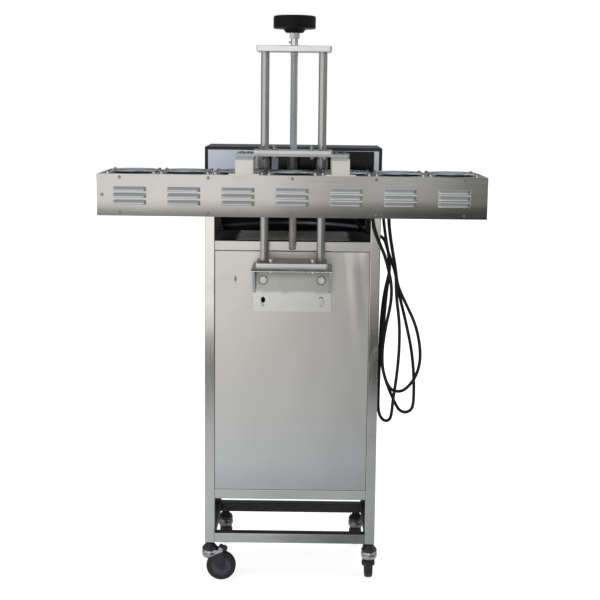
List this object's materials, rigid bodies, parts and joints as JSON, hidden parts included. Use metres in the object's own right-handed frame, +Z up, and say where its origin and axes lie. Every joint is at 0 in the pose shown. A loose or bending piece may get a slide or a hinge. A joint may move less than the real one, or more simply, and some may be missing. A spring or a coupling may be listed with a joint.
{
  "type": "induction sealing machine",
  "caption": "Floor-standing induction cap sealer: long fan-cooled louvred head moved up and down guide columns by a handwheel screw, in front of a slim steel cabinet on castors.",
  "frame": {"origin": "bottom centre of the bounding box on the floor, measured without the mains lead", "axes": "+X to the right seen from the sealing-head side, +Y to the back, +Z up"},
  "size_m": [0.884, 0.52, 1.417],
  "materials": {
    "stainless": "brushed stainless sheet",
    "stainless_tube": "satin stainless tube",
    "polished_steel": "ground and polished",
    "bright_plate": "machined bright",
    "zinc": "zinc plated",
    "black_plastic": "moulded black",
    "case_paint": "dark textured paint",
    "panel_print": "blue-grey overlay, left bare",
    "window": "dark glossy window",
    "sole": "cream insulating laminate",
    "copper": "copper litz winding",
    "dark_steel": "dark oiled steel",
    "ferrite": "sintered ferrite",
    "green_board": "circuit board and heat sink",
    "cord": "black sheath",
    "tyre": "black polymer wheel",
    "red_button": "red",
    "green_button": "green"
  },
  "bodies": {
    "stand": {"corner_posts": "stainless_tube", "frame_rails": "stainless_tube", "front_panel": "stainless", "side_panels": "stainless", "rear_panel": "stainless", "deck_plate": "stainless", "shelf_plates": "stainless", "unit_case": "case_paint", "control_panel": "panel_print", "display_window": "window", "inverter_board": "green_board", "mounting_bracket": "stainless", "column_base_plate": "bright_plate", "guide_columns": "polished_steel", "column_top_plate": "bright_plate", "column_bolts": "zinc", "castor_stems": "black_plastic", "cable_gland": "black_plastic", "cord_hook": "polished_steel", "cord_lead": "cord", "cord_hank": "cord", "mains_plug": "black_plastic"},
    "head": {"carriage_plate": "bright_plate", "bridge_plate": "bright_plate", "linear_bushings": "black_plastic", "screw_nut": "dark_steel", "hanger_straps": "stainless", "carriage_bolts": "zinc", "head_cover": "stainless", "head_front_panel": "stainless", "head_rear_panel": "stainless", "head_base_plate": "sole", "induction_coil": "copper", "ferrite_bars": "ferrite", "fan_frames": "black_plastic", "fan_guards": "polished_steel", "head_screws": "zinc"},
    "spindle": {"lead_screw": "polished_steel", "spindle_collar": "zinc", "handwheel": "black_plastic"},
    "start_button": {"start_button": "green_button"},
    "stop_button": {"stop_button": "red_button"},
    "power_switch": {"power_switch": "black_plastic"},
    "fan_1": {"fan_rotor_1": "black_plastic"},
    "fan_2": {"fan_rotor_2": "black_plastic"},
    "fan_3": {"fan_rotor_3": "black_plastic"},
    "fan_4": {"fan_rotor_4": "black_plastic"},
    "fan_5": {"fan_rotor_5": "black_plastic"},
    "fan_6": {"fan_rotor_6": "black_plastic"},
    "fan_7": {"fan_rotor_7": "black_plastic"},
    "castor_front_left": {"castor_fork_front_left": "polished_steel"},
    "wheel_front_left": {"castor_wheel_front_left": "tyre"},
    "pedal_front_left": {"brake_pedal_front_left": "black_plastic"},
    "castor_front_right": {"castor_fork_front_right": "polished_steel"},
    "wheel_front_right": {"castor_wheel_front_right": "tyre"},
    "pedal_front_right": {"brake_pedal_front_right": "black_plastic"},
    "castor_rear_left": {"castor_fork_rear_left": "polished_steel"},
    "wheel_rear_left": {"castor_wheel_rear_left": "tyre"},
    "castor_rear_right": {"castor_fork_rear_right": "polished_steel"},
    "wheel_rear_right": {"castor_wheel_rear_right": "tyre"}
  },
  "joints": [
    {"name": "spindle_turn", "type": "hinge", "parent": "stand", "child": "spindle", "pos_m": [0, -0.0855, 1.36], "axis": [0, 0, 1], "range_deg": [-18010, 9010]},
    {"name": "head_slide", "type": "slide", "parent": "stand", "child": "head", "axis": [0, 0, 1], "range_m": [-0.1, 0.2]},
    {"name": "fan_1_spin", "type": "hinge", "parent": "head", "child": "fan_1", "pos_m": [-0.3675, -0.1805, 1.036], "axis": [0, 0, 1], "continuous": true},
    {"name": "fan_2_spin", "type": "hinge", "parent": "head", "child": "fan_2", "pos_m": [-0.245, -0.1805, 1.036], "axis": [0, 0, 1], "continuous": true},
    {"name": "fan_3_spin", "type": "hinge", "parent": "head", "child": "fan_3", "pos_m": [-0.1225, -0.1805, 1.036], "axis": [0, 0, 1], "continuous": true},
    {"name": "fan_4_spin", "type": "hinge", "parent": "head", "child": "fan_4", "pos_m": [0, -0.1805, 1.036], "axis": [0, 0, 1], "continuous": true},
    {"name": "fan_5_spin", "type": "hinge", "parent": "head", "child": "fan_5", "pos_m": [0.1225, -0.1805, 1.036], "axis": [0, 0, 1], "continuous": true},
    {"name": "fan_6_spin", "type": "hinge", "parent": "head", "child": "fan_6", "pos_m": [0.245, -0.1805, 1.036], "axis": [0, 0, 1], "continuous": true},
    {"name": "fan_7_spin", "type": "hinge", "parent": "head", "child": "fan_7", "pos_m": [0.3675, -0.1805, 1.036], "axis": [0, 0, 1], "continuous": true},
    {"name": "front_left_swivel", "type": "hinge", "parent": "stand", "child": "castor_front_left", "pos_m": [-0.2035, -0.031, 0.08], "axis": [0, 0, 1], "continuous": true},
    {"name": "front_left_roll", "type": "hinge", "parent": "castor_front_left", "child": "wheel_front_left", "pos_m": [-0.175, -0.031, 0.0375], "axis": [0, 1, 0], "continuous": true},
    {"name": "front_left_brake", "type": "hinge", "parent": "castor_front_left", "child": "pedal_front_left", "pos_m": [-0.176, -0.031, 0.085], "axis": [0, 1, 0], "range_deg": [0, 10]},
    {"name": "front_right_swivel", "type": "hinge", "parent": "stand", "child": "castor_front_right", "pos_m": [0.2035, -0.031, 0.08], "axis": [0, 0, 1], "continuous": true},
    {"name": "front_right_roll", "type": "hinge", "parent": "castor_front_right", "child": "wheel_front_right", "pos_m": [0.2035, -0.0025, 0.0375], "axis": [-1, 0, 0], "continuous": true},
    {"name": "front_right_brake", "type": "hinge", "parent": "castor_front_right", "child": "pedal_front_right", "pos_m": [0.2035, -0.0035, 0.085], "axis": [-1, 0, 0], "range_deg": [0, 10]},
    {"name": "rear_left_swivel", "type": "hinge", "parent": "stand", "child": "castor_rear_left", "pos_m": [-0.179, 0.194, 0.08], "axis": [0, 0, 1], "continuous": true},
    {"name": "rear_left_roll", "type": "hinge", "parent": "castor_rear_left", "child": "wheel_rear_left", "pos_m": [-0.179, 0.2225, 0.0375], "axis": [-1, 0, 0], "continuous": true},
    {"name": "rear_right_swivel", "type": "hinge", "parent": "stand", "child": "castor_rear_right", "pos_m": [0.179, 0.194, 0.08], "axis": [0, 0, 1], "continuous": true},
    {"name": "rear_right_roll", "type": "hinge", "parent": "castor_rear_right", "child": "wheel_rear_right", "pos_m": [0.179, 0.2225, 0.0375], "axis": [-1, 0, 0], "continuous": true},
    {"name": "start_button_press", "type": "slide", "parent": "stand", "child": "start_button", "axis": [0, 1, 0], "range_m": [0, 0.002], "stiffness_N_per_m": 500, "springref_m": -0.001},
    {"name": "stop_button_press", "type": "slide", "parent": "stand", "child": "stop_button", "axis": [0, 1, 0], "range_m": [0, 0.002], "stiffness_N_per_m": 500, "springref_m": -0.001},
    {"name": "power_switch_rock", "type": "hinge", "parent": "stand", "child": "power_switch", "pos_m": [0.2145, 0.0765, 1.052], "axis": [0, 0, 1], "range_deg": [0, 14]}
  ],
  "couplings": [
    {"joint": "spindle_turn", "follows": "head_slide", "rad_per_m": -1570.8}
  ]
}
